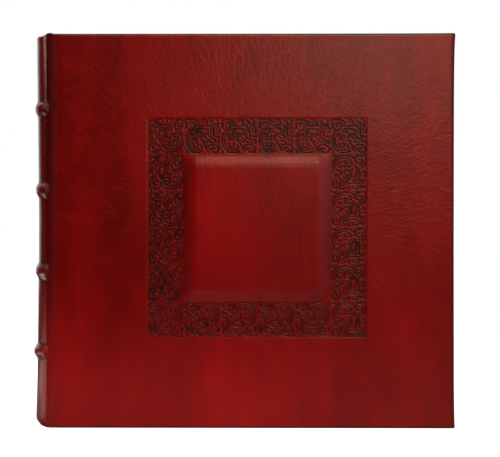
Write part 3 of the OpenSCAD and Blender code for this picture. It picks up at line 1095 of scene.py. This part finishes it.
def make_spine():
    """The leather of the spine: a profile is spun, and then each vertex settles."""
    bm, _, stain_and_shade = leather_sketch()
    verts = [bm.verts.new(around(radius, -HALF_TURN, z)) for radius, z in spine_profile()]
    rim = [bm.edges.new((verts[i - 1], verts[i])) for i in range(len(verts))]
    bmesh.ops.contextual_create(bm, geom=rim)
    made = bmesh.ops.spin(bm, geom=verts + rim, cent=(BACK_X, MIDDLE, 0), axis=(0, 0, -1),
                          angle=2 * HALF_TURN, steps=SPIN_STEPS, use_merge=False)
    last = [part for part in made["geom_last"] if isinstance(part, bmesh.types.BMEdge)]
    bmesh.ops.contextual_create(bm, geom=last)
    bmesh.ops.recalc_face_normals(bm, faces=bm.faces)
    for vert in bm.verts:
        out = Vector((vert.co.x - BACK_X, vert.co.y - MIDDLE, 0))
        angle = math.atan2(out.y, -out.x)
        stain_spine(vert, stain_and_shade)
        if out.length > LINER_R + 0.5:
            settle_spine(vert, stain_and_shade, out, angle)
        arch = 1 - min(1.0, abs(angle) / HALF_TURN) ** 2
        share = 1.0 if out.length > LINER_R + 0.3 else 0.4
        tail_up = TAIL_DRAW * (1 - ease(vert.co.z / 24))
        head_down = HEAD_DRAW * (1 - ease((COVER_H - vert.co.z) / 24))
        vert.co.z += arch * share * (tail_up - head_down)
    return finish_piece(bm, "spine_skin", leather, ["spine_leather"], body="spine")


spine_skin = make_spine()
print("spine skin faces:", len(spine_skin.data.polygons))

# %% [markdown]
# ## The leather of the grooves
# This strip is a piece of its own, between the spine and a cover. Its section is a closed loop: out
# over the groove and back underneath. The loops are stacked from tail to head, and where a raised
# band ends, the strip starts on the band and runs down from it. The loops at both ends shrink,
# which rounds the strip off there.

# %% Build the two groove strips
GROOVE_LEATHER = 1.1
ROUND_END = 0.8
END_HEIGHTS = (0, 0.15, 0.4, 0.8, 1.4)
HEAD_SWELL = 0.7
ACROSS = [0, 0.3, 0.6, 0.9, 1.3, 1.8, 2.3, 2.9, 3.5, 4.2, 4.7, 5.1, BOARD_X - SHOULDER_X]


def groove_section(z, shrink):
    """Outer and inner line of the strip at a height; the ends of the strip are rounded by shrink."""
    start_r = shoulder_radius(z)
    start = Vector((BACK_X - start_r * math.cos(HALF_TURN), start_r * math.sin(HALF_TURN)))
    from_curve = start - Vector((SHOULDER_X, through(GROOVE, SHOULDER_X)))
    inward = Vector((math.cos(HALF_TURN), -math.sin(HALF_TURN)))
    outer, inner = [], []
    for step in ACROSS:
        share = step / ACROSS[-1]
        on_curve, leaned = ease(share / 0.45), ease(share / 0.3)
        place = Vector((SHOULDER_X + step, through(GROOVE, SHOULDER_X + step)))
        place += from_curve * (1 - on_curve)
        down = inward.lerp(Vector((0, -1)), leaned).normalized()
        thick = (start_r - LINER_R) * (1 - leaned) + GROOVE_LEATHER * leaned
        under = place + down * thick
        middle = (place + under) / 2
        outer.append(place.lerp(middle, shrink))
        inner.append(under.lerp(middle, shrink))
    return outer + inner[::-1]


def groove_shrink(z):
    """How far the strip's section shrinks at a height, for an end as round as a quarter circle."""
    inward = min(min(z, COVER_H - z) / ROUND_END, 1)
    return 1 - math.sqrt(max(0.0, 1 - (1 - inward) ** 2)) * 0.9 - 0.1 * inward


def make_groove(side, name, cover, node):
    """The strip of leather in one groove."""
    bm, _, stain_and_shade = leather_sketch()
    heights = list(END_HEIGHTS) + spine_heights()[1:-1]
    heights += [COVER_H - z for z in reversed(END_HEIGHTS)]
    loops = []
    for z in heights:
        section = groove_section(z, groove_shrink(z))
        loops.append([(place.x, place.y, z) for place in section])
    loft(bm, loops)
    for vert in bm.verts:
        share = min(max((vert.co.x - SHOULDER_X) / ACROSS[-1], 0.0), 1.0)
        # Stain and painted shade in the groove.
        vert[stain_and_shade] = groove_stain_and_shade(vert.co.x, vert.co.z)
        to_head = ease((vert.co.z - COVER_H + 6) / 6)
        vert.co.z += HEAD_SWELL * to_head * math.sin(math.pi * share) ** 0.5
    stand_on(bm, side)
    bmesh.ops.recalc_face_normals(bm, faces=bm.faces)
    bends = (cover, (SHOULDER_X, 0, 0), (BOARD_X, 0, 0))
    return finish_piece(bm, name, leather, [node], bends=bends)


front_strip = make_groove(1, "front_groove_skin", "front_cover", "front_joint_leather")
back_strip = make_groove(-1, "back_groove_skin", "back_cover", "back_joint_leather")
print("groove strips, faces:", len(front_strip.data.polygons), len(back_strip.data.polygons))

# %% [markdown]
# ## Paper and card
# Endpapers, leaves and linings are all pulp, so one recipe makes them: a plain colour, clouds where
# the pulp lies thicker and a bump of short fibres. Glassine is beaten until it lets light through,
# and album tissue carries a web embossed by a roller.

# %% Paper, card and glassine
def make_paper(name, colour, shade, fibre=1.0, roughness=0.8):
    """Pulp of two close colours; fibre makes its threads longer and thicker."""
    graph = Graph(name, Roughness=roughness)
    place = graph.place_mm()
    fibres = graph.cloud(graph.stretched(place, 0.35 * fibre, 0.35 * fibre, 1.4 * fibre), 3.0, 0.6)
    clouds = graph.cloud(graph.stretched(place, 22, 22, 26), 3.0, 0.5)
    graph.surface(
        Base_Color=graph.mix((fibres * 0.6 + clouds * 0.4).between(0.3, 0.7), colour, shade),
        Normal=graph.bump(fibres * 0.03, 0.6),
    )
    return graph.material


def make_glassine():
    """Thin paper that lets light through, less so along an embossed web."""
    graph = Graph("glassine", Roughness=0.32, Base_Color=srgb(226, 222, 208))
    place = graph.place_mm()
    threads = graph.node("ShaderNodeTexVoronoi", {"feature": "DISTANCE_TO_EDGE"}, {
        "Vector": graph.stretched(place, 7, 7, 7), "Scale": 1.0})
    web = 1 - threads.between(0.02, 0.09)
    graph.surface(Alpha=0.72 + web * 0.2, Normal=graph.bump(web * 0.08, 0.7))
    return graph.material


leaf_card = make_paper("leaf_card", srgb(238, 231, 212), srgb(230, 221, 200))
lining_paper = make_paper("lining_paper", srgb(236, 228, 208), srgb(226, 216, 194),
                          fibre=1.4, roughness=0.7)
guard_card = make_paper("guard_card", srgb(232, 224, 204), srgb(220, 210, 188))
grey_board = make_paper("board", srgb(132, 122, 106), srgb(104, 94, 80), fibre=1.8, roughness=0.9)
liner_card = make_paper("liner_card", srgb(176, 160, 130), srgb(156, 140, 110), fibre=1.4)
kraft_paper = make_paper("kraft_paper", srgb(170, 128, 84), srgb(150, 108, 68), fibre=1.2)
glassine = make_glassine()
papers = (leaf_card, lining_paper, guard_card, grey_board, liner_card, kraft_paper, glassine)
print("papers and cards:", [paper.name for paper in papers])

# %% [markdown]
# ## Silk, cloth and thread
# Turns of silk, threads of a weave and the twist of a linen thread all repeat evenly, and a sine
# wave repeats evenly too. Round the back of the leaves the distance along the curve is the angle
# times the radius, so stripes measured by it stay equally wide and stand square to the curve.

# %% Silk, cloth and thread
SILK_STRIPE, SILK_TURN = 1.6, 0.4
MULL_THREAD = 1.1
LINEN_TWIST = 0.9


def along_back(graph):
    """Distance round the back of the leaves, and height, both in millimetres."""
    x, y, z = graph.axes(graph.place_mm())
    return (y - MIDDLE).maths("ARCTAN2", BACK_X - x) * LINER_R, z


def make_silk():
    """Silk wound over a cord: the colour changes every few turns of thread."""
    graph = Graph("end_band_silk", Roughness=0.42)
    along, _ = along_back(graph)
    stripe = (along * (math.pi / SILK_STRIPE)).maths("SINE").between(-0.15, 0.15)
    turns = (along * (2 * math.pi / SILK_TURN)).maths("SINE")
    graph.surface(
        Base_Color=graph.mix(stripe, srgb(150, 22, 26), srgb(232, 214, 170)),
        Normal=graph.bump(turns * 0.05, 0.8),
    )
    return graph.material


def make_mull():
    """Stiff open cloth: two sets of threads that cross, with glue in the gaps."""
    graph = Graph("mull_cloth", Roughness=0.9)
    along, z = along_back(graph)
    weft = (along * (2 * math.pi / MULL_THREAD)).maths("SINE").between(0.0, 0.7)
    warp = (z * (2 * math.pi / MULL_THREAD)).maths("SINE").between(0.0, 0.7)
    threads = weft.maths("MAXIMUM", warp)
    graph.surface(
        Base_Color=graph.mix(threads, srgb(150, 128, 92), srgb(222, 214, 194)),
        Normal=graph.bump(threads * 0.12, 0.7),
    )
    return graph.material


def make_thread():
    """Linen thread with the slant of its twist."""
    graph = Graph("linen_thread", Roughness=0.6)
    x, y, z = graph.axes(graph.place_mm())
    twist = ((x + y + z) * (2 * math.pi / LINEN_TWIST)).maths("SINE")
    tone = graph.mix(twist.between(-1, 1), srgb(190, 176, 146), srgb(226, 216, 190))
    graph.surface(Base_Color=tone, Normal=graph.bump(twist * 0.05, 0.8))
    return graph.material


mull_cloth = make_mull()
linen_thread = make_thread()
end_silk = make_silk()
print("cloth, thread and silk:", mull_cloth.name, linen_thread.name, end_silk.name)

# %% [markdown]
# ## Dressing the CAD pieces
# The hidden and the plain pieces keep their CAD shape and only get a material. Nothing of theirs
# would look different if it were modelled again: boards, linings and stubs are flat and square.

# %% Give each CAD piece its material
dress = {
    "front_board": grey_board, "back_board": grey_board, "panel_board": grey_board,
    "spine_liner": liner_card, "kraft_lining": kraft_paper, "mull": mull_cloth,
    "leaf_stubs": leaf_card, "spacer_guards": guard_card, "sewing_thread": linen_thread,
    "front_pastedown": lining_paper, "back_pastedown": lining_paper,
}
dress.update({"head_band": end_silk, "tail_band": end_silk})
dress.update({f"raised_band_{i}": liner_card for i in range(1, 5)})
for name, material in dress.items():
    for material_slot in frame["nodes"][name].material_slots:
        material_slot.material = material
print("CAD pieces dressed:", len(dress))

# %% [markdown]
# ## Leaves that bend at the fold
# A card leaf is held at the back and bends there when it is turned, so each sheet has close lines
# across a short strip beyond its fold. The rest of it has a slight wave, as real card has, and the
# tissues curl a little away from the cards because they are so thin.

# %% Build leaves, tissues and flyleaves
leaf_low, leaf_high = box_mm("leaf_01")
FOLD_X, LEAF_EDGE = leaf_low.x, leaf_high.x
LEAF_LOW, LEAF_HIGH = leaf_low.z, leaf_high.z
BEND = 14.0
WAVE = 0.14
TISSUE_CURL = 0.35
FOLD_STEP, ALONG_STEP, UP_STEP = 0.6, 14, 18


def make_sheet(node, body, material, seed, lift=0.0):
    """One leaf, flyleaf or tissue, as thick as its CAD node."""
    low, high = box_mm(node)
    bm = bmesh.new()
    xs = lines(FOLD_X, FOLD_X + BEND, FOLD_STEP)[:-1]
    xs += lines(FOLD_X + BEND, LEAF_EDGE, ALONG_STEP)
    verts = grid_on(bm, xs, lines(LEAF_LOW, LEAF_HIGH, UP_STEP))
    for vert in verts:
        free = ease((vert.co.x - FOLD_X - BEND) / 60)
        wave = WAVE * noise.noise(Vector((vert.co.x / 60, vert.co.z / 70, seed * 1.7)))
        unevenness = noise.noise(Vector((vert.co.x / 45, vert.co.z / 50, seed)))
        curl = lift * free * (0.6 + 0.4 * unevenness)
        vert.co.y = high.y + wave * free - curl
    made = bmesh.ops.extrude_face_region(bm, geom=list(bm.faces))
    moved = [part for part in made["geom"] if isinstance(part, bmesh.types.BMVert)]
    bmesh.ops.translate(bm, vec=(0, low.y - high.y, 0), verts=moved)
    bmesh.ops.recalc_face_normals(bm, faces=bm.faces)
    bends = (body, (FOLD_X, 0, 0), (FOLD_X + BEND, 0, 0))
    return finish_piece(bm, f"{node}_sheet", material, [node], bends=bends)


for i in range(1, 17):
    make_sheet(f"leaf_{i:02d}", f"leaf_{i:02d}", leaf_card, i)
    make_sheet(f"tissue_{i:02d}", f"leaf_{i:02d}", glassine, i, lift=TISSUE_CURL)
make_sheet("front_flyleaf", "front_flyleaf", lining_paper, 31)
make_sheet("back_flyleaf", "back_flyleaf", lining_paper, 32)
print("sheet", round(LEAF_EDGE - FOLD_X, 1), "x", round(LEAF_HIGH - LEAF_LOW, 1), "mm past its fold")

# %% [markdown]
# ## The fold of the endpapers
# An endpaper is one folded sheet: half is pasted inside the cover and half is the flyleaf. The fold
# between them lies in the groove as a narrow U when the album is closed, and opens into an arch
# when a cover is turned back. Its outline across the fold is drawn once and lofted from tail to
# head, so that the paper keeps its thickness round the bend.

# %% Build the two folds
FOLD_LOW, FOLD_HIGH = 0.08, 0.62
FOLD_DEEP = 2.5
FOLD_ON_FLYLEAF = 3.0
FOLD_ARC = 24
HALF_PAPER = 0.06
LEG_MARGIN = 0.07


def fold_path(low_v, high_v):
    """The middle of the paper: in along the flyleaf, half a turn, and out along the cover."""
    middle_v, radius = (low_v + high_v) / 2, (high_v - low_v) / 2
    turn_x = BOARD_X - FOLD_DEEP
    path = [(BOARD_X + FOLD_ON_FLYLEAF, low_v), (BOARD_X + FOLD_ON_FLYLEAF / 2, low_v)]
    path += [(x, low_v) for x in lines(BOARD_X, turn_x, 0.5)]
    for i in range(1, FOLD_ARC):
        angle = math.radians(180 * i / FOLD_ARC)
        path.append((turn_x - radius * math.sin(angle), middle_v - radius * math.cos(angle)))
    return path + [(x, high_v) for x in lines(turn_x, BOARD_X - 0.02, 0.5)]


def fold_section(path):
    """The closed outline of the paper: a line on each side of its middle."""
    outer, inner = [], []
    for i, (x, v) in enumerate(path):
        before, after = path[max(i - 1, 0)], path[min(i + 1, len(path) - 1)]
        along = Vector((after[0] - before[0], after[1] - before[1])).normalized() * HALF_PAPER
        outer.append((x - along.y, v + along.x))
        inner.append((x + along.y, v - along.x))
    return outer + inner[::-1]


def make_fold(side, name, cover):
    """The folded strip of endpaper inside one joint."""
    stub = stub_high.y - MIDDLE
    low_v, high_v = stub + FOLD_LOW, stub + FOLD_HIGH
    section = fold_section(fold_path(low_v, high_v))
    bm = bmesh.new()
    loft(bm, [[(x, v, z) for x, v in section] for z in lines(LEAF_LOW, LEAF_HIGH, 30)])
    stand_on(bm, side)
    bmesh.ops.recalc_face_normals(bm, faces=bm.faces)
    start_y = MIDDLE - side * (low_v + LEG_MARGIN)
    end_y = MIDDLE - side * (high_v - LEG_MARGIN)
    bends = (cover, (0, start_y, 0), (0, end_y, 0))
    return finish_piece(bm, name, lining_paper, bends=bends)


front_fold = make_fold(1, "front_endpaper_fold", "front_cover")
back_fold = make_fold(-1, "back_endpaper_fold", "back_cover")
print("endpaper folds, faces:", len(front_fold.data.polygons), len(back_fold.data.polygons))

# %% [markdown]
# ## The camera
# The album is seen straight on from far away, with upright edges that stay upright. A camera that
# stands a little above the middle and tips down would make them lean, so it looks level and its
# image is shifted down instead, as with a view camera. It stands half a degree to the right of the
# middle, which decides how much of the spine is seen.

# %% The camera
SENSOR = 36.0
CAMERA_AWAY = 1300.0
AIM_X, AIM_Z = 5.7, 152.87
FRAME_WIDE = 382.3
CAMERA_Z = 200.0
CAMERA_TURN = math.radians(0.5)
camera_data = bpy.data.cameras.new("camera")
camera_data.sensor_width = SENSOR
camera_data.lens = SENSOR * CAMERA_AWAY / FRAME_WIDE
camera_data.shift_y = (AIM_Z - CAMERA_Z) / FRAME_WIDE
camera = bpy.data.objects.new("camera", camera_data)
camera_x = AIM_X + CAMERA_AWAY * math.sin(CAMERA_TURN)
camera_y = MIDDLE - SKIN - CAMERA_AWAY * math.cos(CAMERA_TURN)
camera.location = Vector((camera_x, camera_y, CAMERA_Z)) * METRE
camera.rotation_euler = (math.pi / 2, 0, CAMERA_TURN)
bpy.context.scene.collection.objects.link(camera)
bpy.context.scene.camera = camera
print("lens", round(camera_data.lens, 1), "mm")

# %% [markdown]
# ## The lights
# Two large soft lights give the leather its colour. Waxed leather also mirrors what is around it,
# and where a pale sheen lies tells where something bright stands. One light for both jobs would
# either bleach the red or leave out the sheen. So some lights here only light the surfaces, and
# others are only seen mirrored in them: above, to the right, along the spine and low by the table.

# %% The lights
WHITE = (1.0, 1.0, 1.0)


def add_light(name, place, aim, wide, tall, watts, colour=WHITE, shines=True, mirrored=True):
    """A soft rectangular light in millimetres, which lights surfaces, is mirrored, or does both."""
    data = bpy.data.lights.new(name, "AREA")
    data.shape = "RECTANGLE"
    data.size = wide * METRE
    data.size_y = tall * METRE
    data.energy = watts
    data.color = colour
    light = bpy.data.objects.new(name, data)
    light.location = Vector(place) * METRE
    light.rotation_euler = (Vector(aim) - Vector(place)).to_track_quat("-Z", "Y").to_euler()
    light.visible_diffuse = shines
    light.visible_glossy = mirrored
    bpy.context.scene.collection.objects.link(light)


WARM = (1.0, 0.93, 0.8)
AMBER = (1.0, 0.9, 0.64)
ROSE = (1.0, 0.62, 0.55)
# name, place, the point that it faces, width, height, watts, colour
add_light("key", (1050, -760, 530), (20, -24, 150), 1050, 1050, 13.8, WARM, mirrored=False)
add_light("left_fill", (-1010, -760, 430), (20, -24, 150), 1050, 1050, 5.0, WARM, mirrored=False)
add_light("sheen", (200, -1324, 430), (60, -24, 180), 320, 300, 1.3, AMBER, shines=False)
add_light("right_sheen", (620, -1150, 420), (60, -24, 180), 300, 500, 0.9, WARM, shines=False)
add_light("high_sheen", (150, -1000, 950), (40, -24, 220), 500, 250, 4.8, AMBER, shines=False)
add_light("top", (0, -150, 1100), (0, 0, 300), 700, 300, 3.4, WARM)
add_light("left_strip", (-1146, -107, 580), (-150, 0, 150), 120, 500, 5.0, ROSE, shines=False)
add_light("left_high", (-830, 756, 880), (-150, 0, 200), 600, 350, 9.0, ROSE, shines=False)
add_light("table_left", (-500, 60, 2), (-500, 60, 400), 320, 300, 0.85, WARM, shines=False)
add_light("table_near", (-270, -30, 2), (-270, -30, 400), 140, 80, 0.1, WARM, shines=False)
add_light("wall_behind", (-640, 900, 500), (-150, 0, 150), 600, 1000, 2.0, shines=False)
add_light("back_fill", (-200, 1500, 1100), (0, 24, 150), 700, 500, 4.0, mirrored=False)
print("lights:", len(bpy.data.lights))

# %% [markdown]
# ## The floor
# The album stands on white paper that runs out of sight. Lit like the leather, it would come out
# grey or burnt out, so it glows white to the camera only. Near the album it still throws some light
# back up, which fades further away.

# %% The floor
FLOOR_HALF = 4.0
floor_bm = bmesh.new()
bmesh.ops.create_grid(floor_bm, x_segments=1, y_segments=1, size=FLOOR_HALF)
floor_mesh = bpy.data.meshes.new("floor")
floor_bm.to_mesh(floor_mesh)
floor_bm.free()
floor_graph = Graph("floor", Roughness=1.0, Emission_Strength=1.0)
seen = floor_graph.node("ShaderNodeLightPath", output="Is Camera Ray")
away = floor_graph.vector("LENGTH", floor_graph.place_mm(), output=1)
near_white, near_grey, far_grey, black = [(level,) * 3 for level in (0.95, 0.6, 0.03, 0.0)]
paper_white = floor_graph.mix(away.between(200, 420), near_white, WHITE)
floor_graph.surface(
    Base_Color=floor_graph.mix(away.between(250, 600), near_grey, far_grey),
    Emission_Color=floor_graph.mix(seen, black, paper_white),
)
floor_mesh.materials.append(floor_graph.material)
floor = bpy.data.objects.new("floor", floor_mesh)
bpy.context.scene.collection.objects.link(floor)
print("floor", 2 * FLOOR_HALF, "m wide, only for the picture")

# %% [markdown]
# ## The world
# A bright world would wash out the red. It is white where the camera looks at it and almost dark
# for the album, by the same choice of light path as on the floor. The Standard view keeps white
# paper white.

# %% The world
world = bpy.data.worlds.new("white_to_the_camera")
world.use_nodes = True
bpy.context.scene.world = world
tree = world.node_tree
surroundings = tree.nodes["Background"]
surroundings.inputs["Color"].default_value = (0.5, 0.5, 0.5, 1.0)
surroundings.inputs["Strength"].default_value = 0.015
backdrop = tree.nodes.new("ShaderNodeBackground")
backdrop.inputs["Color"].default_value = (1.0, 1.0, 1.0, 1.0)
chooser = tree.nodes.new("ShaderNodeMixShader")
light_path = tree.nodes.new("ShaderNodeLightPath")
tree.links.new(light_path.outputs["Is Camera Ray"], chooser.inputs["Fac"])
tree.links.new(surroundings.outputs["Background"], chooser.inputs[1])
tree.links.new(backdrop.outputs["Background"], chooser.inputs[2])
tree.links.new(chooser.outputs["Shader"], tree.nodes["World Output"].inputs["Surface"])
bpy.context.scene.view_settings.view_transform = "Standard"
print("world:", world.name)
